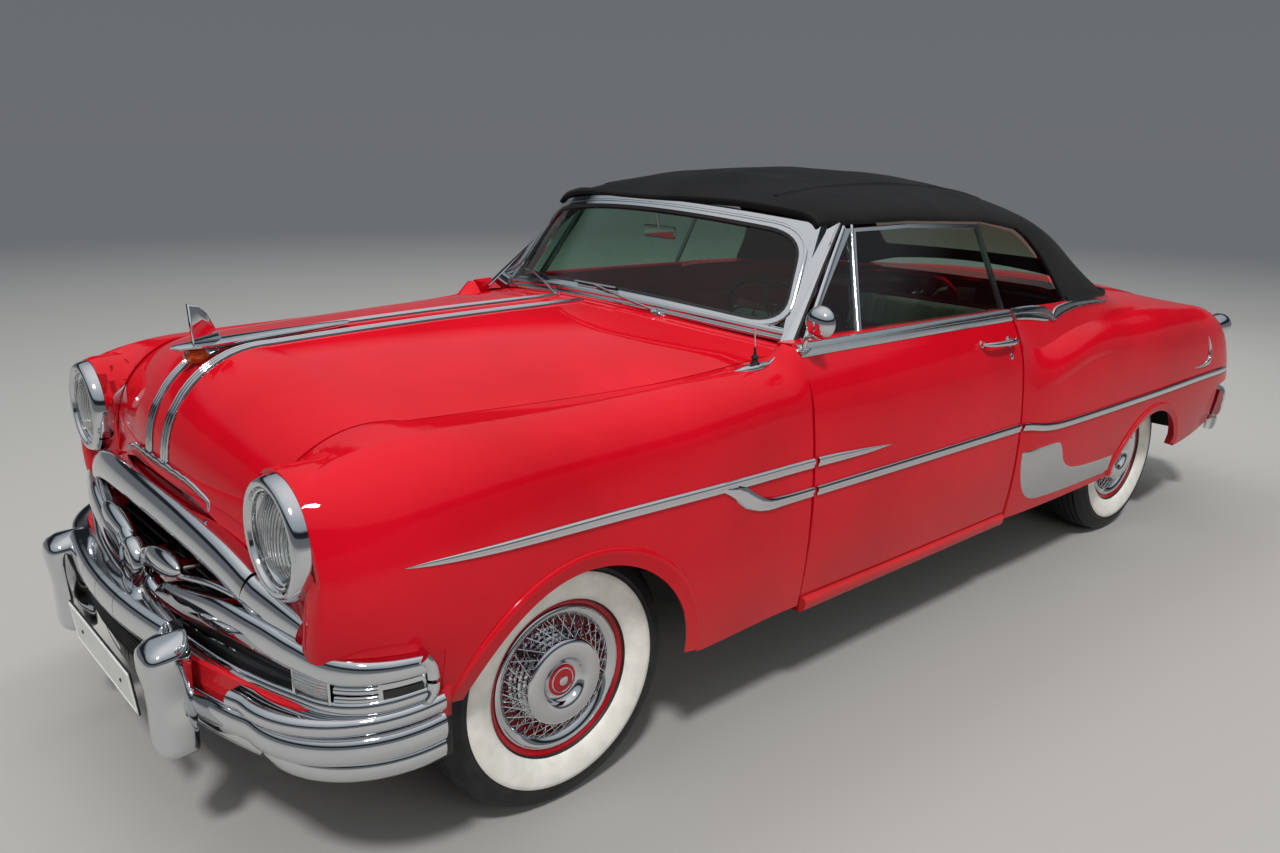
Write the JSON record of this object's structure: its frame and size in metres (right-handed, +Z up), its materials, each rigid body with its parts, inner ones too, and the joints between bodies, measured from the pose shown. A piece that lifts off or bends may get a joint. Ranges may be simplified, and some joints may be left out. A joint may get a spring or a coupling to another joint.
{
  "type": "two-door convertible car, 1950s",
  "caption": "Full-size early-1950s two-door convertible with its fabric top up, opening doors, hood and trunk lid, turning road wheels and steered front wheels.",
  "frame": {"origin": "on the ground, midway between the bumpers and midway between the sides", "axes": "+X forward, +Y to the car's left, +Z up"},
  "size_m": [5.15, 1.9424, 1.579],
  "materials": {
    "body_paint": "gloss red paint",
    "bright_trim": "polished chrome plate",
    "lamp_glass": "fluted clear glass in a bright rim",
    "lamp_red": "clear red lens",
    "window_glass": "clear, faint green tint",
    "clear_sheet": "clear flexible sheet",
    "top_fabric": "black woven top cloth",
    "seat_leather": "red hide",
    "wheel_plastic": "gloss moulded rim",
    "chassis_steel": "black chassis paint",
    "bare_steel": "dull bare steel",
    "engine_iron": "painted cast iron",
    "under_paint": "dull underbody paint",
    "wheel_chrome": "chrome cover on a red rim",
    "tyre_rubber": "black rubber with a wide white wall"
  },
  "bodies": {
    "body": {"nose_panel": "body_paint", "rear_deck": "body_paint", "tail_panel": "body_paint", "cowl": "body_paint", "front_fender_left": "body_paint", "front_fender_right": "body_paint", "rear_quarter_left": "body_paint", "rear_quarter_right": "body_paint", "grille": "bright_trim", "crown_bar": "bright_trim", "front_bumper": "bright_trim", "rear_bumper": "bright_trim", "side_wings": "bright_trim", "windshield_frame": "bright_trim", "headlamps": "lamp_glass", "tail_lamps": "lamp_red", "windshield_glass": "window_glass", "quarter_windows": "window_glass", "rear_window": "clear_sheet", "convertible_top": "top_fabric", "front_seat": "seat_leather", "rear_seat": "seat_leather", "dashboard": "body_paint", "steering_column": "wheel_plastic", "front_suspension": "chassis_steel", "leaf_springs": "chassis_steel", "rear_axle": "chassis_steel", "drive_shaft": "chassis_steel", "chassis_frame": "chassis_steel", "fuel_tank": "chassis_steel", "exhaust": "bare_steel", "engine_block": "engine_iron", "radiator": "chassis_steel", "floor_pan": "under_paint", "front_aprons": "under_paint", "wheel_wells": "under_paint"},
    "hood": {"hood": "body_paint"},
    "trunk_lid": {"trunk_lid": "body_paint"},
    "door_left": {"door_left": "body_paint", "door_window_left": "window_glass", "door_window_frame_left": "bright_trim", "door_mirror": "bright_trim"},
    "door_right": {"door_right": "body_paint", "door_window_right": "window_glass", "door_window_frame_right": "bright_trim"},
    "steering_wheel": {"steering_wheel": "wheel_plastic"},
    "knuckle_left": {"knuckle_left": "chassis_steel"},
    "knuckle_right": {"knuckle_right": "chassis_steel"},
    "wheel_front_left": {"wheel_front_left": "wheel_chrome", "tyre_front_left": "tyre_rubber"},
    "wheel_front_right": {"wheel_front_right": "wheel_chrome", "tyre_front_right": "tyre_rubber"},
    "wheel_rear_left": {"wheel_rear_left": "wheel_chrome", "tyre_rear_left": "tyre_rubber"},
    "wheel_rear_right": {"wheel_rear_right": "wheel_chrome", "tyre_rear_right": "tyre_rubber"}
  },
  "joints": [
    {"name": "hood_hinge", "type": "hinge", "parent": "body", "child": "hood", "pos_m": [0.83, 0, 1.165], "axis": [0, -1, 0], "range_deg": [0, 45]},
    {"name": "trunk_hinge", "type": "hinge", "parent": "body", "child": "trunk_lid", "pos_m": [-1.476, 0, 1.08], "axis": [0, 1, 0], "range_deg": [0, 60]},
    {"name": "door_left_hinge", "type": "hinge", "parent": "body", "child": "door_left", "pos_m": [0.884, 0.934, 0.7], "axis": [0, 0, -1], "range_deg": [0, 65]},
    {"name": "door_right_hinge", "type": "hinge", "parent": "body", "child": "door_right", "pos_m": [0.884, -0.934, 0.7], "axis": [0, 0, 1], "range_deg": [0, 65]},
    {"name": "steer_left", "type": "hinge", "parent": "body", "child": "knuckle_left", "pos_m": [1.695, 0.645, 0.355], "axis": [0, 0, 1], "range_deg": [-30, 30]},
    {"name": "steer_right", "type": "hinge", "parent": "body", "child": "knuckle_right", "pos_m": [1.695, -0.645, 0.355], "axis": [0, 0, 1], "range_deg": [-30, 30]},
    {"name": "steering_wheel_turn", "type": "hinge", "parent": "body", "child": "steering_wheel", "pos_m": [0.4, 0.37, 1.035], "axis": [-0.8829, 0, 0.4695], "range_deg": [-540, 540]},
    {"name": "wheel_front_left_spin", "type": "hinge", "parent": "knuckle_left", "child": "wheel_front_left", "pos_m": [1.695, 0.743, 0.355], "axis": [0, 1, 0], "continuous": true},
    {"name": "wheel_front_right_spin", "type": "hinge", "parent": "knuckle_right", "child": "wheel_front_right", "pos_m": [1.695, -0.743, 0.355], "axis": [0, 1, 0], "continuous": true},
    {"name": "wheel_rear_left_spin", "type": "hinge", "parent": "body", "child": "wheel_rear_left", "pos_m": [-1.404, 0.75, 0.355], "axis": [0, 1, 0], "continuous": true},
    {"name": "wheel_rear_right_spin", "type": "hinge", "parent": "body", "child": "wheel_rear_right", "pos_m": [-1.404, -0.75, 0.355], "axis": [0, 1, 0], "continuous": true}
  ],
  "couplings": [
    {"joint": "steer_right", "follows": "steer_left", "ratio": 1},
    {"joint": "steering_wheel_turn", "follows": "steer_left", "ratio": 18}
  ]
}
